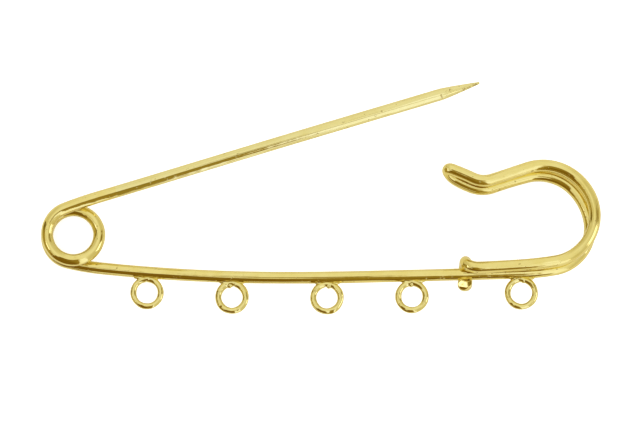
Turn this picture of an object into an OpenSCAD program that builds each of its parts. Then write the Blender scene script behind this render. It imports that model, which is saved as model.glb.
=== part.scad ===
// Kilt pin brooch of bent round wire with a coil spring, a crook shaped catch and a row of small hanging loops.
// Lengths in mm. It is shaped in its own flat frame, with the spring's axis at x = 0, y = 0 and the back bar's
// centreline at z = 0, and is then laid down the way it rests on a table.

/* [Wire] */
// Diameter of the main wire
wire_d = 1.84; // [1.2:0.02:2.4]
// Diameter of the wire of a hanging loop
loop_wire_d = 0.95; // [0.6:0.05:1.4]
// Play left between the spring and the pin, which turn against each other
seam = 0.06; // [0.03:0.01:0.2]

/* [Back bar] */
// Length of the bar from the spring to the crook
bar_length = 69.26; // [50:0.01:90]
// Direction in which the bar leaves the spring, in degrees
bar_heading = -13.65; // [-30:0.05:10]

/* [Catch] */
// Length of wire in the crook, from the bar to the catch's mouth
crook_length = 39.03; // [30:0.01:50]
// Step across from the mouth to the start of the returning wire
fold_x = -0.66; // [-2:0.01:1]
// Step up from the mouth to the start of the returning wire
fold_y = 1.46; // [0.8:0.01:2.5]
// How far the fold at the mouth bulges out
fold_bulge = 1.5; // [0.8:0.05:2.5]
// Direction in which the returning wire leaves the mouth, in degrees
return_heading = -20.77; // [-40:0.05:0]
// Height of the returning wire over the bar's centreline at the mouth
return_z = 1.446; // [1.2:0.001:3]
// Rise of the returning wire towards the right, per mm
return_rise_x = 0.0105; // [0:0.0005:0.05]
// Rise of the returning wire towards the bottom, per mm
return_rise_y = 0.025; // [0:0.0005:0.06]
// Distance from the returning wire's end back to the turn that is wrapped round the bar
wrap_back = 2.14; // [0.8:0.01:4]
// Gap between the wrapped end and the bar
wrap_gap = 0.02; // [0.01:0.01:0.3]
// Angle at which the wrapped end begins, counted over the top of the bar
wrap_start = 20; // [0:1:40]
// Angle at which it is cut
wrap_end = -226; // [-270:1:-150]
// How far the wrapped end wanders along the bar
wrap_slant = 0.11; // [0:0.01:0.5]

/* [Spring] */
// Mean diameter of the spring
coil_d = 8; // [6:0.05:12]
// Gap between the spring's turns
coil_gap = 0.14; // [0.04:0.01:0.6]
// Turn over which the rise starts and fades out, in degrees
coil_ease = 40; // [10:5:80]

/* [Pin] */
// Direction of the open pin, in degrees
pin_heading = 16.68; // [0:0.02:40]
// Length of the pin from the spring to its point
pin_length = 57.4; // [40:0.1:80]
// Length of the tapered point
point_length = 6.2; // [3:0.1:12]
// Diameter of the blunt end of the point
point_d = 0.4; // [0.1:0.02:0.6]
// Lean of the pin away from the bar's plane, in degrees
pin_lean = 1.2; // [0:0.05:3]

/* [Hanging loops] */
// Outer diameter of a loop
loop_d = 5.1; // [3:0.05:8]
// How deep a loop is sunk into the bar
loop_sink = 0.37; // [0.1:0.01:0.6]
// Depth of the straight land inside a loop
loop_land = 0.12; // [0.05:0.01:0.3]
// Radius of the solder at a loop
solder_r = 0.5; // [0.2:0.01:0.8]
// Length of the solder along the bar
solder_length = 2.2; // [0.5:0.05:4]

/* [Lie on the table] */
// Roll about the bar, in degrees
lie_roll = -7.34; // [-20:0.01:20]
// Pitch along the bar, in degrees
lie_pitch = -1.21; // [-10:0.01:10]
// Height of the spring's centre over the table
lie_height = 0.756; // [0:0.001:5]

/* [Hidden] */
wire_r = wire_d / 2;
loop_wire_r = loop_wire_d / 2;
loop_r = loop_d / 2 - loop_wire_r;
loop_hole_r = loop_r - sqrt(pow(loop_wire_r, 2) - pow(loop_land / 2, 2));
loop_drop = wire_r + loop_d / 2 - loop_sink;
coil_pitch = wire_d + coil_gap;
wrap_r = wire_d + wrap_gap;
wrap_steps = 20;
fold_steps = 14;
turn_over_steps = 10;
wire_sides = 20;
coil_sides = 24;
// The solder's middle as a share of the wire's radius, and its ends as a share of its own
solder_drop = 0.72;
solder_taper = 0.3;
// How far the wire runs on before and after it turns over the bar, as shares of its diameter
turn_over_pull = [0.73, 0.63];
// Where the bar leaves the spring, as shares of the spring's diameter
bar_leaves = [-0.1163, -0.5238];
// Places of the loops along the bar, as shares of its length
loop_places = [0.1621, 0.3481, 0.5559, 0.7418, 0.9809];
// Bends as pairs of length and turn in degrees, each length a share of the bar, the crook or the spring's diameter
bar_bends = [[0.0787, 7.9], [0.4089, 5.8], [0.1556, 1.3], [0.3568, 0.3]];
crook_bends = [
  [0.1263, 8.4], [0.2603, 91.4], [0.1376, 33.6], [0.1937, 59.3], [0.135, 5.7], [0.0869, -40.6], [0.0602, -8.4]
];
return_bends = [
  [0.0835, -4.9], [0.0799, 44.4], [0.1404, -0.4], [0.1686, -49.3], [0.1214, -32.9],
  [0.184, -57.8], [0.1548, -49], [0.1289, -5.3], [0.1665, -1.8]
];
coil_bends = [[2.0425, -233.94], [0.2538, -31.95], [1.3988, -162.91], [0.6738, -75.97], [0.6625, -4.9], [0.38, 0]];

// Walking along a bent wire: points as x, y and heading
function long(bends, l) = [for (b = bends) [b[0] * l, b[1]]];
function bend_steps(b, deg, mm) = max(1, ceil(max(abs(b[1]) / deg, b[0] / mm)));
function chord(l, t) = abs(t) < 0.001 ? l : l * sin(t / 2) / (t / 2 * PI / 180);
function stride(p, l, t) = [
  p[0] + chord(l, t) * cos(p[2] + t / 2),
  p[1] + chord(l, t) * sin(p[2] + t / 2),
  p[2] + t
];
function walk(p, bends, deg, mm, k = 0, i = 0) =
  k >= len(bends) ? [] :
  let (n = bend_steps(bends[k], deg, mm), q = stride(p, bends[k][0] / n, bends[k][1] / n))
  concat([q], i + 1 < n ? walk(q, bends, deg, mm, k, i + 1) : walk(q, bends, deg, mm, k + 1, 0));
function total(list, j, k = 0) = k >= len(list) ? 0 : list[k][j] + total(list, j, k + 1);
function last(list) = list[len(list) - 1];
function bezier(a, b, c, d, n) = [
  for (i = [1 : n - 1]) let (t = i / n, u = 1 - t)
  u * u * u * a + 3 * u * u * t * b + 3 * u * t * t * c + t * t * t * d
];
function unit(v) = v / norm(v);
function aim(h) = [cos(h), sin(h), 0];

// The wire from the spring round the catch and back to its wrapped end
bar_start = [coil_d * bar_leaves[0], coil_d * bar_leaves[1], bar_heading];
bar_walk = concat([bar_start], walk(bar_start, long(bar_bends, bar_length), 6, 7));
crook_walk = walk(last(bar_walk), long(crook_bends, crook_length), 8, 3);
mouth = last(crook_walk);
return_start = [mouth[0] + fold_x, mouth[1] + fold_y, return_heading];
return_walk = concat([return_start], walk(return_start, long(return_bends, crook_length), 8, 3));
function return_height(p) =
  return_z + return_rise_x * (p[0] - return_start[0]) - return_rise_y * (p[1] - return_start[1]);
bar_path = [for (p = bar_walk) [p[0], p[1], 0]];
crook_path = [for (p = crook_walk) [p[0], p[1], 0]];
return_path = [for (p = return_walk) [p[0], p[1], return_height(p)]];
fold = bezier(
  last(crook_path),
  last(crook_path) + fold_bulge * aim(mouth[2]),
  return_path[0] - fold_bulge * aim(return_heading),
  return_path[0],
  fold_steps
);
// The bar's centreline height at a distance along it
function bar_level(x, k = 0) =
  bar_path[k + 1][0] >= x || k + 2 >= len(bar_path)
  ? bar_path[k][1] + (bar_path[k + 1][1] - bar_path[k][1]) * (x - bar_path[k][0]) / (bar_path[k + 1][0] - bar_path[k][0])
  : bar_level(x, k + 1);
return_end = last(return_path);
return_aim = unit(return_end - return_path[len(return_path) - 2]);
wrap_x = return_end[0] - wrap_back;
function wrap_point(a) = [
  wrap_x + wrap_slant * (a - wrap_start) / (wrap_start - wrap_end),
  bar_level(wrap_x) + wrap_r * cos(a),
  wrap_r * sin(a)
];
function wrap_aim(a) = [0, sin(a), -cos(a)];
turn_over = bezier(
  return_end,
  return_end + wire_d * turn_over_pull[0] * return_aim,
  wrap_point(wrap_start) - wire_d * turn_over_pull[1] * wrap_aim(wrap_start),
  wrap_point(wrap_start),
  turn_over_steps
);
wrap_path = [for (i = [0 : wrap_steps]) wrap_point(wrap_start + (wrap_end - wrap_start) * i / wrap_steps)];
frame_path = concat(bar_path, crook_path, fold, return_path, turn_over, wrap_path);

// The spring, from the bar round to the pin
coil_turn = -total(coil_bends, 1);
coil_start = [bar_start[0], bar_start[1], bar_heading + 180];
coil_walk = concat([coil_start], walk(coil_start, long(coil_bends, coil_d), 7.5, 3));
function eased(t) =
  t < coil_ease ? t * t / (2 * coil_ease) :
  t > coil_turn - coil_ease ? coil_turn - coil_ease - pow(coil_turn - t, 2) / (2 * coil_ease) :
  t - coil_ease / 2;
function coil_height(t) = coil_pitch / 360 * eased(t);
coil_path = [for (p = coil_walk) [p[0], p[1], coil_height(coil_start[2] - p[2])]];

// A round wire swept along a path, as one closed body
function tangent(path, i) =
  let (n = len(path), a = path[max(0, i - 1)], b = path[i], c = path[min(n - 1, i + 1)])
  i == 0 ? unit(c - b) : i == n - 1 ? unit(b - a) : unit(unit(b - a) + unit(c - b));
function carried(v, t) = unit(v - (v * t) * t);
function normals(path, v, i = 0) =
  i >= len(path) ? [] :
  let (q = carried(v, tangent(path, i)))
  concat([q], normals(path, q, i + 1));
module wire(path, r, sides, first_aim, last_aim) {
  n = len(path);
  side = normals(path, [0, 0, 1]);
  points = [
    for (i = [0 : n - 1]) let (
      t = i == 0 ? first_aim : i == n - 1 ? last_aim : tangent(path, i),
      u = carried(side[i], t),
      v = cross(t, u)
    )
    for (j = [0 : sides - 1]) path[i] + r * (u * cos(360 * j / sides) + v * sin(360 * j / sides))
  ];
  skin = [
    for (i = [0 : n - 2]) for (j = [0 : sides - 1]) let (
      a = i * sides + j,
      b = i * sides + (j + 1) % sides
    )
    for (f = [[a, b, b + sides], [a, b + sides, a + sides]]) [f[2], f[1], f[0]]
  ];
  near = [for (j = [0 : sides - 1]) j];
  far = [for (j = [sides - 1 : -1 : 0]) (n - 1) * sides + j];
  polyhedron(points = points, faces = concat(skin, [near], [far]));
}

module lie() {
  rotate([lie_roll, lie_pitch, 0])
    translate([0, 0, lie_height])
      children();
}

// One hanging loop with its solder, at a distance along the bar
module hanging_loop(x) {
  translate([x, bar_level(x) - loop_drop, 0])
    difference() {
      rotate_extrude($fn = 96)
        translate([loop_r, 0, 0])
          circle(r = loop_wire_r, $fn = 32);
      translate([0, 0, -loop_wire_r])
        cylinder(h = loop_wire_d, r = loop_hole_r, $fn = 96);
    }
  translate([x, bar_level(x) - wire_r * solder_drop, 0])
    for (side = [-1, 1])
      rotate([0, 90 * side, 0])
        cylinder(h = solder_length / 2, r1 = solder_r, r2 = solder_r * solder_taper, $fn = 32);
}

module back_bar() {
  color([0.85, 0.68, 0.3])
    lie()
      union() {
        wire(frame_path, wire_r, wire_sides, aim(bar_heading), wrap_aim(wrap_end));
        for (share = loop_places)
          hanging_loop(bar_length * share);
      }
}

module spring_coil() {
  color([0.88, 0.72, 0.34])
    lie()
      wire(coil_path, wire_r, coil_sides, aim(bar_heading + 180), aim(pin_heading));
}

module pin_stem() {
  color([0.9, 0.75, 0.38])
    lie()
      translate(last(coil_path))
        rotate([0, 90 - pin_lean, pin_heading])
          translate([0, 0, seam]) {
            cylinder(h = pin_length - point_length, r = wire_r, $fn = 64);
            translate([0, 0, pin_length - point_length])
              cylinder(h = point_length, r1 = wire_r, r2 = point_d / 2, $fn = 64);
          }
}

back_bar();
spring_coil();
pin_stem();
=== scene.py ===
import math

import bpy
from mathutils import Euler, Matrix, Vector


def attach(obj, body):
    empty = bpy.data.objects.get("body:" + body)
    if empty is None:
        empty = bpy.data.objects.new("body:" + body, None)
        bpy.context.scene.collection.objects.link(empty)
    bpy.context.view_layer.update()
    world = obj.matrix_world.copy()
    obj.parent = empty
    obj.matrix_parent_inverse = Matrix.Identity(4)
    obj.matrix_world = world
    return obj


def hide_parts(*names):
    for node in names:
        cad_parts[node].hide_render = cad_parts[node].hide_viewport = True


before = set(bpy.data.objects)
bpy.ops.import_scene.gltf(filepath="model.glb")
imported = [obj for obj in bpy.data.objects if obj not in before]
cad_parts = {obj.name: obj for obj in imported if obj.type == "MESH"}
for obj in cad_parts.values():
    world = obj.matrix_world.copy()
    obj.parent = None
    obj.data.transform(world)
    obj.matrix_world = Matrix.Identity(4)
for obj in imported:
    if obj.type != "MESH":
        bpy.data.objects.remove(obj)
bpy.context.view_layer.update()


# The back wire is one length of round iron wire, bent first and gold-plated after. It is the spring's rear
# turn, the bar, the crook of the catch, the fold at the catch's mouth, and the way back beside itself to an
# end that is wrapped round the bar and snipped off.

# Lengths are millimetres in the brooch's own flat frame, and turns are degrees. The columns of each table of
# bends: length, as a share of the bar, the crook or the spring's diameter, and turn.
wire_radius = 0.92
wire_sides = 36
bar_length = 69.26
bar_heading = -13.65
bar_bends = [(0.0787, 7.9), (0.4089, 5.8), (0.1556, 1.3), (0.3568, 0.3)]
crook_length = 39.03
crook_bends = [
    (0.1263, 8.4), (0.2603, 91.4), (0.1376, 33.6), (0.1937, 59.3), (0.135, 5.7), (0.0869, -40.6),
    (0.0602, -8.4),
]
return_bends = [
    (0.0835, -4.9), (0.0799, 44.4), (0.1404, -0.4), (0.1686, -49.3), (0.1214, -32.9),
    (0.184, -57.8), (0.1548, -49), (0.1289, -5.3), (0.1665, -1.8),
]
coil_diameter = 8
coil_bends = [
    (2.0425, -233.94), (0.2538, -31.95), (1.3988, -162.91), (0.6738, -75.97), (0.6625, -4.9), (0.38, 0),
]


def aim(heading):
    return Vector((math.cos(math.radians(heading)), math.sin(math.radians(heading)), 0))


def bent(start, heading, bends, whole, height):
    """Points along a bent wire and the heading at each, as finely as its curves need."""
    widest_turn = 3
    longest_step = 0.9
    points = [Vector((start.x, start.y, height(start, heading)))]
    headings = [heading]
    for share, turn in bends:
        steps = math.ceil(max(abs(turn) / widest_turn, share * whole / longest_step))
        part = math.radians(turn / steps)
        chord = share * whole / steps * (1 if turn == 0 else math.sin(part / 2) / (part / 2))
        for _ in range(steps):
            place = points[-1] + chord * aim(headings[-1] + math.degrees(part) / 2)
            headings.append(headings[-1] + math.degrees(part))
            points.append(Vector((place.x, place.y, height(place, headings[-1]))))
    return points, headings


def swoop(a, b, c, d, steps):
    """Points inside a smooth stretch from a to d that leaves towards b and arrives from c."""
    shares = [i / steps for i in range(1, steps)]
    return [
        (1 - t) ** 3 * a + 3 * (1 - t) ** 2 * t * b + 3 * (1 - t) * t * t * c + t**3 * d for t in shares
    ]


# The bar leaves the spring at its foot, a share of the spring's diameter from its middle
bar_start = coil_diameter * Vector((-0.1163, -0.5238, 0))
bar, bar_headings = bent(bar_start, bar_heading, bar_bends, bar_length, lambda p, h: 0)
crook, crook_headings = bent(bar[-1], bar_headings[-1], crook_bends, crook_length, lambda p, h: 0)

# The returning wire lies in front of the crook and rises a little towards the loops
return_heading = -20.77
return_start = crook[-1] + Vector((-0.66, 1.46, 0))
return_height = 1.446
rise_along = 0.0105
rise_to_loops = 0.025
back_again, _ = bent(
    return_start, return_heading, return_bends, crook_length,
    lambda p, h: return_height + rise_along * (p.x - return_start.x) - rise_to_loops * (p.y - return_start.y),
)
fold_bulge = 1.5
fold_steps = 36
fold = swoop(
    crook[-1], crook[-1] + fold_bulge * aim(crook_headings[-1]),
    back_again[0] - fold_bulge * aim(return_heading), back_again[0], fold_steps,
)


def bar_level(x):
    """Height of the bar's centreline in the flat frame, at a distance along it."""
    for a, b in zip(bar, bar[1:]):
        if b.x >= x:
            break
    return a.y + (b.y - a.y) * (x - a.x) / (b.x - a.x)


# The end goes over the top of the bar, behind it and comes forward again below it, and drifts a little
# towards the spring
turn_over_length = 2.14
wrap_gap = 0.02
wrap_x = back_again[-1].x - turn_over_length
wrap_middle = (wrap_x, bar_level(wrap_x), 0)
wrap_radius = 2 * wire_radius + wrap_gap
wrap_start = 20
wrap_end = -226
wrap_drift = 0.11
wrap_steps = 60


def wrap_point(angle):
    drift = wrap_drift * (angle - wrap_start) / (wrap_start - wrap_end)
    across = wrap_radius * Vector((0, math.cos(math.radians(angle)), math.sin(math.radians(angle))))
    return Vector((wrap_x + drift, wrap_middle[1], 0)) + across


def wrap_aim(angle):
    return Vector((0, math.sin(math.radians(angle)), -math.cos(math.radians(angle))))


wrap = [wrap_point(wrap_start + (wrap_end - wrap_start) * i / wrap_steps) for i in range(wrap_steps + 1)]
leaving_bulge = 1.35
arriving_bulge = 1.16
turn_over_steps = 26
turn_over = swoop(
    back_again[-1], back_again[-1] + leaving_bulge * (back_again[-1] - back_again[-2]).normalized(),
    wrap[0] - arriving_bulge * wrap_aim(wrap_start), wrap[0], turn_over_steps,
)

# The spring winds forward by a wire and a hair's gap in each turn. Its rear turn runs a little way inside
# the front one, which slides round on it when the pin moves.
coil_gap = 0.14
coil_rise = (2 * wire_radius + coil_gap) / 360
coil_ease = 40
coil_turn = -sum(turn for _, turn in coil_bends)


def coil_height(place, heading):
    turned = bar_heading + 180 - heading
    into = min(turned, coil_ease)
    out = max(0, turned - (coil_turn - coil_ease))
    return coil_rise * (into**2 / (2 * coil_ease) + turned - into - out**2 / (2 * coil_ease))


coil, coil_headings = bent(bar_start, bar_heading + 180, coil_bends, coil_diameter, coil_height)
coil_turned = [bar_heading + 180 - heading for heading in coil_headings]
meeting_turn = 250
hidden_turn = 40
tuck = 0.03
tuck_turn = 10
rear_turn = [(p, t) for p, t in zip(coil, coil_turned) if t <= meeting_turn + hidden_turn]
rear_radii = [wire_radius - tuck * min(1, max(0, (t - meeting_turn) / tuck_turn)) for _, t in rear_turn]


def draw_wire(name, points, radii, sides):
    """A ring of edges, turned and pulled on from point to point, closed at both ends, with its own grain."""
    least_turn = 1e-5
    least_growth = 1e-6
    bpy.ops.object.select_all(action="DESELECT")
    along = [(b - a).normalized() for a, b in zip(points, points[1:])]
    turns = [along[0]] + [(a + b).normalized() for a, b in zip(along, along[1:])] + [along[-1]]
    bpy.ops.mesh.primitive_circle_add(
        vertices=sides, radius=radii[0], fill_type="NOTHING", location=points[0],
        rotation=turns[0].to_track_quat("Z", "Y").to_euler(),
    )
    piece = bpy.context.object
    piece.name = name
    bpy.ops.object.transform_apply(location=True, rotation=True, scale=True)
    bpy.ops.object.mode_set(mode="EDIT")
    bpy.ops.mesh.select_all(action="SELECT")
    for i in range(1, len(points)):
        step = points[i] - points[i - 1]
        axis = turns[i - 1].cross(turns[i])
        if axis.length > least_turn:
            bpy.ops.mesh.spin(
                steps=1, use_auto_merge=False, angle=-turns[i - 1].angle(turns[i]), center=points[i - 1],
                axis=axis.normalized(),
            )
            bpy.ops.transform.translate(value=step)
        else:
            bpy.ops.mesh.extrude_region_move(TRANSFORM_OT_translate={"value": step})
        grow = radii[i] / radii[i - 1]
        if abs(grow - 1) > least_growth:
            bpy.ops.transform.resize(value=(grow, grow, grow), center_override=points[i])
    bpy.ops.mesh.select_all(action="DESELECT")
    bpy.ops.mesh.select_non_manifold(
        extend=False, use_wire=False, use_multi_face=False, use_non_contiguous=False, use_verts=False
    )
    bpy.ops.mesh.fill_holes(sides=0)
    bpy.ops.mesh.select_all(action="SELECT")
    bpy.ops.mesh.normals_make_consistent(inside=False)
    bpy.ops.object.mode_set(mode="OBJECT")

    # The drawn wire's grain runs along it, so its finish is laid out by the way round and the way along
    grain = piece.data.attributes.new("grain", "FLOAT_VECTOR", "POINT")
    stout = max(radii)
    gone = 0
    for i, point in enumerate(points):
        gone += 0 if i == 0 else (point - points[i - 1]).length
        for j in range(sides):
            way = 2 * math.pi * j / sides
            grain.data[i * sides + j].vector = (stout * math.cos(way), stout * math.sin(way), gone)
    return piece


# The wire's last rings are a piece of their own, and three rings of the long wire end inside it
end_rings = 16
inner_rings = 3
back_points = [p for p, _ in reversed(rear_turn)] + bar[1:] + crook[1:] + fold + back_again + turn_over
back_points += wrap[:inner_rings - end_rings]
full_rings = len(back_points) - len(rear_radii) - inner_rings
back_radii = rear_radii[::-1] + [wire_radius] * full_rings + [wire_radius - tuck] * inner_rings
back_wire = draw_wire("back_wire", back_points, back_radii, wire_sides)

# Pliers pressed the wrapped end down on the bar, harder towards its tip, and left it a little flat
press = (1.012, 0.9955, 0.9955)
pressed_rings = range(43, 15, -2)
for rings in pressed_rings:
    bpy.ops.object.mode_set(mode="EDIT")
    bpy.ops.mesh.select_all(action="DESELECT")
    bpy.ops.object.mode_set(mode="OBJECT")
    for vertex in back_wire.data.vertices[-rings * wire_sides:]:
        vertex.select = True
    bpy.ops.object.mode_set(mode="EDIT")
    bpy.ops.transform.resize(value=press, center_override=wrap_middle)
    bpy.ops.object.mode_set(mode="OBJECT")


def melt(piece, skin, rounds):
    """Joins all of a piece in one skin of small faces, in millimetres, and softens its edges."""
    remesh = piece.modifiers.new("skin", "REMESH")
    remesh.mode = "VOXEL"
    remesh.voxel_size = skin
    bpy.ops.object.modifier_apply(modifier="skin")
    soft = piece.modifiers.new("soft", "SMOOTH")
    soft.factor = 0.5
    soft.iterations = rounds
    bpy.ops.object.modifier_apply(modifier="soft")


# The cutters parted the end with two large flats that meet in a ridge and two small ones on its left, and
# the plating softened them. The columns: the way a flat looks, and a point of it from the middle of the end.
snip_flats = [
    (Vector((-0.449, -0.157, 0.878)), Vector((0.25, -0.10, 0.104))),
    (Vector((0.497, 0.019, 0.867)), Vector((0.25, -0.10, 0.104))),
    (Vector((-0.72, 0.42, 0.55)), Vector((-0.60, 0.05, -0.216))),
    (Vector((-0.45, -0.62, 0.64)), Vector((-0.45, -0.80, -0.304))),
]
snip = Vector((wrap_x - wrap_drift, wrap_middle[1], 0))
snip += (wrap_point(wrap_end) - wrap_point(wrap_end - 180)) / 2
snipped_end = draw_wire("snipped_end", wrap[-end_rings:], [wire_radius] * end_rings, wire_sides)
bpy.ops.object.mode_set(mode="EDIT")
for normal, place in snip_flats:
    bpy.ops.mesh.select_all(action="SELECT")
    bpy.ops.mesh.bisect(plane_co=snip + place, plane_no=normal.normalized(), use_fill=True, clear_outer=True)
bpy.ops.mesh.select_all(action="SELECT")
bpy.ops.transform.resize(
    value=[part ** len(pressed_rings) for part in press], center_override=wrap_middle
)
bpy.ops.object.mode_set(mode="OBJECT")
melt(snipped_end, skin=0.03, rounds=45)

# The brooch lies on its spring, the mouth of its catch and its wrapped end
metres = 0.001
lie_turn = (math.radians(-7.34), math.radians(-1.21), 0)
lie_height = 0.756
lie = (
    Matrix.Scale(metres, 4) @ Euler(lie_turn).to_matrix().to_4x4() @ Matrix.Translation((0, 0, lie_height))
)


def lay_down(piece, body, smooth=40):
    """Puts a finished piece the way the brooch lies, smooths its shading and gives it to its body."""
    bpy.ops.object.select_all(action="DESELECT")
    piece.select_set(True)
    bpy.context.view_layer.objects.active = piece
    piece.matrix_world = lie @ piece.matrix_world
    bpy.ops.object.transform_apply(location=True, rotation=True, scale=True)
    bpy.ops.object.shade_smooth_by_angle(angle=math.radians(smooth))
    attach(piece, body)


class Ink:
    """A shader socket that can be used in sums."""

    def __init__(self, tree, socket):
        self.tree = tree
        self.socket = socket

    def math(self, operation, first, second):
        return add_node(self.tree, "ShaderNodeMath", {"operation": operation}, {0: first, 1: second})

    def __add__(self, other):
        return self.math("ADD", self, other)

    def __sub__(self, other):
        return self.math("SUBTRACT", self, other)

    def __mul__(self, other):
        return self.math("MULTIPLY", self, other)

    def __radd__(self, other):
        return self.math("ADD", other, self)

    def __rsub__(self, other):
        return self.math("SUBTRACT", other, self)

    def __rmul__(self, other):
        return self.math("MULTIPLY", other, self)


def add_node(tree, kind, settings, values, output=0):
    """One node: its settings first, then the values or links of its sockets."""
    node = tree.nodes.new(kind)
    for name, value in settings.items():
        setattr(node, name, value)
    for name, value in values.items():
        if isinstance(value, Ink):
            tree.links.new(value.socket, node.inputs[name])
        else:
            node.inputs[name].default_value = value
    return Ink(tree, node.outputs[output])


def blend(tree, share, first, second):
    """The first colour, with a share of the second."""
    return add_node(
        tree, "ShaderNodeMix", {"data_type": "RGBA"}, {0: share, 6: first, 7: second}, output=2
    )


def climb(tree, value, low, high, top=1.0, kind="LINEAR"):
    """Nothing where the value is low, and the top where it is high."""
    ends = {"Value": value, "From Min": low, "From Max": high, "To Min": 0.0, "To Max": top}
    return add_node(tree, "ShaderNodeMapRange", {"interpolation_type": kind}, ends)


def add_finish(name, constants):
    """A new material, its nodes and its shader, with what stays the same all over."""
    finish = bpy.data.materials.new(name)
    finish.use_nodes = True
    shader = finish.node_tree.nodes["Principled BSDF"]
    for socket, value in constants.items():
        shader.inputs[socket].default_value = value
    return finish, finish.node_tree, shader


def gold_plate(name, dents, ripple, drawn, pitted, pale=0, fades=(), ground=1000):
    """Bright gold plating: a yellow metal with shallow dents, ripples, drawn lines, pits and dull spots.

    The drawn lines come in from the first to the second place along the wire of each fade, and the pits grow
    more from the place where it was ground.
    """
    gold, tree, shader = add_finish(name, {"Metallic": 1.0})
    place = add_node(tree, "ShaderNodeTexCoord", {}, {}, output=3)

    def noise(scale, detail, rough=0.5, place=place):
        values = {"Vector": place, "Scale": scale, "Detail": detail, "Roughness": rough}
        return add_node(tree, "ShaderNodeTexNoise", {}, values)

    # Dents of 2 mm, ripples of 1 mm, drawn lines and pits, as heights in metres
    relief = 0.00040 * dents * noise(500, 1.0)
    speck = noise(1500, 2.0, 0.6)
    if drawn > 0:
        grain = add_node(tree, "ShaderNodeAttribute", {"attribute_name": "grain"}, {}, output=1)
        fibre = add_node(tree, "ShaderNodeMapping", {}, {"Vector": grain, "Scale": (3.2, 3.2, 0.035)})
        bends = add_node(tree, "ShaderNodeMapping", {}, {"Vector": grain, "Scale": (0.9, 0.9, 0.24)})
        lines = 0.00012 * drawn * noise(1.0, 1.0, 0.5, fibre) + 0.00007 * ripple * noise(1.0, 1.0, 0.5, bends)
        way = add_node(tree, "ShaderNodeSeparateXYZ", {}, {0: grain}, output=2)
        for low, high in fades:
            lines = lines * climb(tree, way, low, high)
        relief = relief + lines
        speck = speck + climb(tree, way, ground, ground + 5, top=0.11)
    else:
        relief = relief + 0.00006 * ripple * noise(1100, 1.0)
    pit = climb(tree, speck, 0.67, 0.74, kind="SMOOTHSTEP")
    relief = relief - 0.00003 * pitted * pit
    bump = add_node(tree, "ShaderNodeBump", {}, {"Strength": 1.0, "Distance": 1.0, "Height": relief})
    tree.links.new(bump.socket, shader.inputs["Normal"])

    # Greener and brighter or redder and deeper in patches, and brown in the pits
    light_gold = (0.86, 0.755 + 0.03 * pale, 0.31 + 0.06 * pale, 1)
    deep_gold = (0.76, 0.61 + 0.03 * pale, 0.15 + 0.06 * pale, 1)
    pit_brown = (0.40, 0.27, 0.07, 1)
    worn = noise(420, 3.0, 0.6)
    colour = blend(tree, 0.8 * pitted * pit, blend(tree, worn, light_gold, deep_gold), pit_brown)
    tree.links.new(colour.socket, shader.inputs["Base Color"])
    dull = 0.03 + 0.07 * worn + 0.22 * pitted * pit
    tree.links.new(dull.socket, shader.inputs["Roughness"])
    return gold


back_wire.data.materials.append(
    gold_plate("gold_back_wire", dents=0.07, ripple=0.5, drawn=0.8, pitted=0.7, fades=[(1, 7)])
)
lay_down(back_wire, "frame")
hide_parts("back_bar")
snipped_end.data.materials.clear()
snipped_end.data.materials.append(
    gold_plate("gold_snipped_end", dents=0.1, ripple=0.3, drawn=0, pitted=0.6)
)
lay_down(snipped_end, "frame", smooth=60)


# Each charm loop is a ring of thin gold-plated wire, closed with a butt joint at its top and soldered there
# to the underside of the bar. The solder has run out along the bar and, on most, hangs into the top of the
# hole.

# The columns: place as a share of the bar, turn, stoutness, depth of the solder in the hole, sag
loop_rows = [
    (0.1621, 4, 0.99, 0, 0),
    (0.3481, -9, 1.06, 0.27, 0),
    (0.5559, 7, 1.05, 0.25, 0),
    (0.7418, -3, 1.03, 0.3, 0.09),
    (0.9809, 8, 1.0, 0.12, 0),
]
loop_width = 5.1
loop_wire_radius = 0.475
loop_radius = loop_width / 2 - loop_wire_radius
loop_sunk = 0.37
loop_drop = wire_radius + loop_width / 2 - loop_sunk
loop_sides = 20
ring_steps = 64
joint_turn = 95
ring_turn = 350
unevenness = 0.04
loop_gold = gold_plate("gold_charm_loop", dents=0.9, ripple=0.4, drawn=0, pitted=0.5, pale=0.5)

for number, (share, turned, stout, bead, sag) in enumerate(loop_rows, start=1):
    foot = Vector((bar_length * share, bar_level(bar_length * share), 0))
    middle = foot - Vector((0, loop_drop + sag, 0))
    ring = []
    wall = []
    for i in range(ring_steps + 1):
        ring.append(middle + loop_radius * aim(joint_turn + turned + ring_turn * i / ring_steps))
        wall.append(loop_wire_radius * stout * (1 + unevenness * math.sin(0.4 * i + 2 * number)))
    loop = draw_wire(f"charm_loop_{number}", ring, wall, loop_sides)

    # Solder, thick at the joint and thin towards its ends, melted into one skin with the ring. The columns:
    # place from the bar's centreline, half lengths.
    solder = [
        (Vector((0, -0.98, 0)), (1.0, 0.46, 0.54)),
        (Vector((-1.1, -0.84, 0.05)), (0.95, 0.22, 0.36)),
        (Vector((1.15, -0.84, -0.05)), (0.9, 0.24, 0.38)),
        (Vector((0.04 * turned, -1.08 - bead, 0.08)), (0.36, 0.42, 0.42)),
    ]
    for place, size in solder:
        bpy.ops.object.select_all(action="DESELECT")
        bpy.ops.mesh.primitive_uv_sphere_add(
            segments=24, ring_count=16, radius=1, location=foot + place, scale=size
        )
        loop.select_set(True)
        bpy.context.view_layer.objects.active = loop
        bpy.ops.object.join()
    melt(loop, skin=0.07, rounds=8)
    loop.data.materials.clear()
    loop.data.materials.append(loop_gold)
    lay_down(loop, "frame", smooth=60)


# The spring's front turn is the same plated wire, wound forward over the rear turn, and leaves it straight
# into the pin. It turns about the spring's axis as the pin opens and closes.
def round_end(middle, toward, radius, lift_step, count):
    """Centres and radii of the rings that close a wire roundly."""
    lifts = [math.radians(lift_step * i) for i in range(1, count + 1)]
    centres = [middle + toward * radius * math.sin(lift) for lift in lifts]
    return centres, [radius * math.cos(lift) for lift in lifts]


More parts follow.
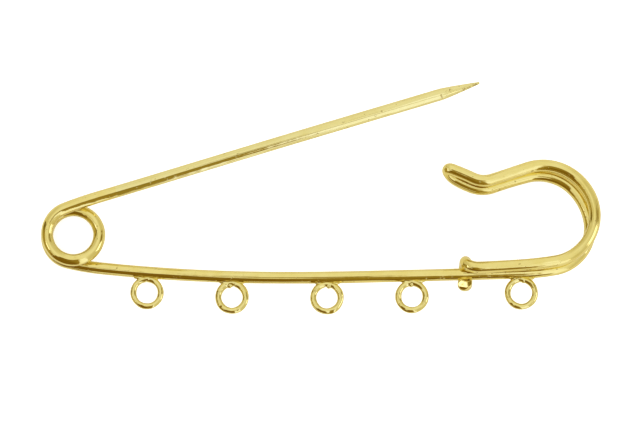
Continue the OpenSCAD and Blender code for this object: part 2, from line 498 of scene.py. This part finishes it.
# It starts inside the rear turn. Where it meets the pin it has one more ring, close to the seam, so that the
# light runs on evenly, and a round end that stays inside the pin.
start_turn = meeting_turn - 4
seam = 0.04
front_turn = [(p, t) for p, t in zip(coil, coil_turned) if t >= start_turn]
front_points = [p for p, _ in front_turn]
front_radii = [wire_radius - tuck * min(1, max(0, 1 - (t - start_turn) / tuck_turn)) for _, t in front_turn]
leg_aim = (coil[-1] - coil[-2]).normalized()
front_points.insert(-1, coil[-1] - seam * leg_aim)
front_radii.append(wire_radius)
end_points, end_radii = round_end(coil[-1], leg_aim, wire_radius, lift_step=9, count=9)
spring_turn = draw_wire("spring_turn", front_points + end_points, front_radii + end_radii, wire_sides)
spring_turn.data.materials.append(
    gold_plate("gold_spring", dents=0.07, ripple=0.5, drawn=0.6, pitted=0.4, fades=[(1, 6), (25, 18)])
)
lay_down(spring_turn, "spring")
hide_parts("spring_coil")


# The pin is the free end of the plated wire: straight, with a hardly visible bow, and ground to a long point
# whose tip is blunt and round. The lines of the wire's drawing show on it, and the point is a little pitted.
pin_heading = 16.68
pin_lean = 1.2
pin_length = 57.46
pin_bow = 0.06
pin_steps = 90
point_length = 6.2
point_radius = 0.2
point_curve = 1.2
pin_aim = aim(pin_heading) * math.cos(math.radians(pin_lean))
pin_aim += Vector((0, 0, math.sin(math.radians(pin_lean))))
start_points, start_radii = round_end(coil[-1], -pin_aim, wire_radius, lift_step=9, count=9)
pin_points = start_points[::-1]
pin_radii = start_radii[::-1]
for i in range(pin_steps + 1):
    gone = i / pin_steps * (pin_length - point_radius)
    ground = max(0, gone - pin_length + point_length) / (point_length - point_radius)
    bow = aim(pin_heading + 90) * pin_bow * math.sin(math.pi * i / pin_steps) ** 2
    pin_points.append(coil[-1] + pin_aim * gone + bow)
    pin_radii.append(wire_radius + (point_radius - wire_radius) * ground**point_curve)
    if i == 0:
        pin_points.append(coil[-1] + pin_aim * seam)
        pin_radii.append(wire_radius)
tip_points, tip_radii = round_end(
    coil[-1] + pin_aim * (pin_length - point_radius), pin_aim, point_radius, lift_step=16, count=5
)
pin = draw_wire("pin", pin_points + tip_points, pin_radii + tip_radii, wire_sides)
pin.data.materials.append(
    gold_plate("gold_pin", dents=0.04, ripple=0.25, drawn=1.6, pitted=0.8, pale=1, fades=[(1, 30)], ground=51)
)
lay_down(pin, "pin")
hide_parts("pin_stem")


# The brooch was laid on a white table, under soft light from all round. The gold doesn't mirror this table,
# but a duller shade of it, which comes with the boards below. Lengths are metres from here on.
table_size = 6
bpy.ops.object.select_all(action="DESELECT")
bpy.ops.mesh.primitive_plane_add(size=table_size, location=(0.037, 0.003, 0))
table = bpy.context.object
table.name = "table"
white, _, _ = add_finish("white_table", {
    "Base Color": (0.88, 0.88, 0.88, 1), "Roughness": 0.9,
    "Emission Color": (1, 1, 1, 1), "Emission Strength": 0.6,
})
table.data.materials.append(white)
table.visible_glossy = False
table.visible_diffuse = False
table.visible_shadow = False

world = bpy.data.worlds.new("soft_room")
bpy.context.scene.world = world
world.use_nodes = True
world.node_tree.nodes["Background"].inputs["Color"].default_value = (1, 1, 1, 1)
world.node_tree.nodes["Background"].inputs["Strength"].default_value = 0.98


# What only the gold mirrors: a soft room, the table's duller shade, dark boards that give its brown bands and
# bright strips that give the fine lines along its wires. Each is given by its corners and its glow.
def glow(name, tone, other=None, along=(1, 0, 0), low=0.0, high=1.0):
    """A glowing material of one tone, or of two that change over a stretch of the way named by along."""
    strength = max(tone)
    first = (*[part / strength for part in tone], 1)
    paint, tree, shader = add_finish(name, {
        "Base Color": (0, 0, 0, 1), "Roughness": 1.0, "Specular IOR Level": 0.0,
        "Emission Color": first, "Emission Strength": strength,
    })
    if other:
        second = (*[part / strength for part in other], 1)
        place = add_node(tree, "ShaderNodeTexCoord", {}, {}, output=3)
        way = add_node(
            tree, "ShaderNodeVectorMath", {"operation": "DOT_PRODUCT"}, {0: place, 1: along}, output=1
        )
        uneven = add_node(
            tree, "ShaderNodeTexNoise", {}, {"Vector": place, "Scale": 1.5 / (high - low), "Detail": 1.0}
        )
        share = climb(tree, way + 0.12 * (high - low) * uneven, low, high, kind="SMOOTHSTEP")
        tree.links.new(blend(tree, share, first, second).socket, shader.inputs["Emission Color"])
    return paint


def seen_by_gold(card, paint):
    """Gives an object of the room its glow and hides it from all but the gold's reflections."""
    card.data.materials.append(paint)
    card.visible_camera = False
    card.visible_diffuse = False
    card.visible_shadow = False


def board(name, corners, paint):
    """A plane with its corners moved to four places in the room."""
    bpy.ops.object.select_all(action="DESELECT")
    bpy.ops.mesh.primitive_plane_add(size=1)
    card = bpy.context.object
    card.name = name
    for vertex, corner in zip(card.data.vertices, corners):
        vertex.co = corner
    seen_by_gold(card, paint)


# The room is a dome, white over the brooch and duller towards its two sides
room_radius = 2.5
bpy.ops.object.select_all(action="DESELECT")
bpy.ops.mesh.primitive_uv_sphere_add(segments=48, ring_count=24, radius=room_radius)
room = bpy.context.object
room.name = "soft_room"
bpy.ops.object.mode_set(mode="EDIT")
bpy.ops.mesh.select_all(action="SELECT")
bpy.ops.mesh.bisect(plane_co=(0, 0, -0.01), plane_no=(0, 0, 1), clear_inner=True)
bpy.ops.object.mode_set(mode="OBJECT")
room_paint, room_tree, room_shader = add_finish("room_glow", {
    "Base Color": (0, 0, 0, 1), "Roughness": 1.0, "Specular IOR Level": 0.0, "Emission Strength": 1.0,
})
room_place = add_node(room_tree, "ShaderNodeTexCoord", {}, {}, output=3)
sideways = add_node(room_tree, "ShaderNodeSeparateXYZ", {}, {0: room_place})
sideways = add_node(room_tree, "ShaderNodeMath", {"operation": "ABSOLUTE"}, {0: sideways})
cloud = add_node(room_tree, "ShaderNodeTexNoise", {}, {"Vector": room_place, "Scale": 0.9})
duller = climb(room_tree, sideways + 0.9 * cloud, 0.9, 1.9, kind="SMOOTHSTEP")
room_colour = blend(room_tree, duller, (0.99, 0.99, 0.99, 1), (0.76, 0.72, 0.58, 1))
room_tree.links.new(room_colour.socket, room_shader.inputs["Emission Color"])
seen_by_gold(room, room_paint)

# The shade's warm glow is painted light: the gold's own light thrown back onto the table, which turns the
# table's shadows round the wires golden where the gold mirrors them.
shade, _, _ = add_finish("table_shade", {
    "Base Color": (0.50, 0.50, 0.50, 1), "Roughness": 1.0, "Specular IOR Level": 0.0,
    "Emission Color": (1.0, 0.90, 0.66, 1), "Emission Strength": 0.38,
})
shade_reach = 2.6
shade_depth = -0.0003
shade_corners = [
    (side * shade_reach, end * shade_reach, shade_depth) for end in (-1, 1) for side in (-1, 1)
]
board("table_shade", shade_corners, shade)

# The dark board slants down from over the brooch to the table in front of it
board(
    "board_front",
    [(-1.50, -1.40, 0), (0.368, -1.40, 0), (0.022, 0.014, 0.25), (0.034, 0.014, 0.25)],
    glow(
        "board_front", (0.23, 0.135, 0.014),
        other=(0.36, 0.26, 0.05), along=(1, 0.2333, 0), low=-0.05, high=0.03,
    ),
)
board(
    "board_front_edge",
    [(0.368, -1.40, 0), (0.376, -1.40, 0), (0.034, 0.014, 0.25), (0.040, 0.006, 0.25)],
    glow("board_front_edge", (0.60, 0.46, 0.18)),
)
board(
    "board_front_left",
    [(-0.34, -0.30, 0), (-0.60, -0.55, 0), (-0.24, -0.12, 0.33), (-0.42, -0.40, 0.45)],
    glow("board_front_left", (0.30, 0.20, 0.035)),
)
board(
    "board_left",
    [(-0.34, -0.30, 0.0), (-0.30, 0.15, 0.0), (-0.30, -0.20, 0.30), (-0.26, 0.12, 0.30)],
    glow("board_left", (0.46, 0.36, 0.11), other=(0.22, 0.16, 0.03), along=(0, 1, 0), low=0.02, high=0.10),
)
board(
    "board_right",
    [(0.522, 0.055, 0.20), (0.452, 0.235, 0.20), (0.522, 0.055, 0.60), (0.452, 0.235, 0.60)],
    glow("board_right", (0.30, 0.22, 0.045)),
)
board(
    "strip_right",
    [(0.48, 0.03, 0.15), (0.46, -0.17, 0.15), (0.48, 0.03, 0.42), (0.46, -0.17, 0.42)],
    glow("strip_right", (1.9, 1.95, 2.4)),
)
board(
    "strip_front_right",
    [(0.380, -1.40, 0), (0.85, -1.30, 0), (0.052, -0.05, 0.30), (0.09, -0.04, 0.30)],
    glow("strip_front_right", (1.18, 1.24, 1.55)),
)
board(
    "lamp_front_right",
    [(0.23, -0.46, 0.24), (0.33, -0.41, 0.24), (0.23, -0.46, 0.36), (0.33, -0.41, 0.36)],
    glow("lamp_front_right", (2.6, 2.6, 2.8)),
)
board(
    "strip_left",
    [(-0.36, -0.26, 0.36), (-0.36, 0.16, 0.36), (-0.36, -0.26, 0.46), (-0.36, 0.16, 0.46)],
    glow("strip_left", (1.9, 1.95, 2.4)),
)


# The camera looks straight down on the middle of the picture, from far enough for an even view, and a soft
# box behind the brooch lights it from the back.
picture_width = 0.09718
camera_height = 1.2
bpy.ops.object.select_all(action="DESELECT")
bpy.ops.object.camera_add(location=(0.0374, 0.00337, camera_height), rotation=(0, 0, 0))
camera = bpy.context.object
camera.data.sensor_width = 36
camera.data.lens = camera.data.sensor_width * camera_height / picture_width
camera.data.clip_start = 0.01
camera.data.clip_end = 20
bpy.context.scene.camera = camera

bpy.ops.object.light_add(type="AREA", location=(0.05, 0.6, 0.6))
softbox = bpy.context.object
softbox.name = "softbox_back"
softbox_aim = Vector((0.037, 0.003, 0)) - softbox.location
softbox.rotation_euler = softbox_aim.to_track_quat("-Z", "Y").to_euler()
softbox.data.shape = "RECTANGLE"
softbox.data.size = 1.2
softbox.data.size_y = 0.8
softbox.data.energy = 1.5
softbox.visible_camera = False
softbox.visible_glossy = False

bpy.context.scene.view_settings.view_transform = "Standard"
bpy.context.scene.view_settings.look = "None"
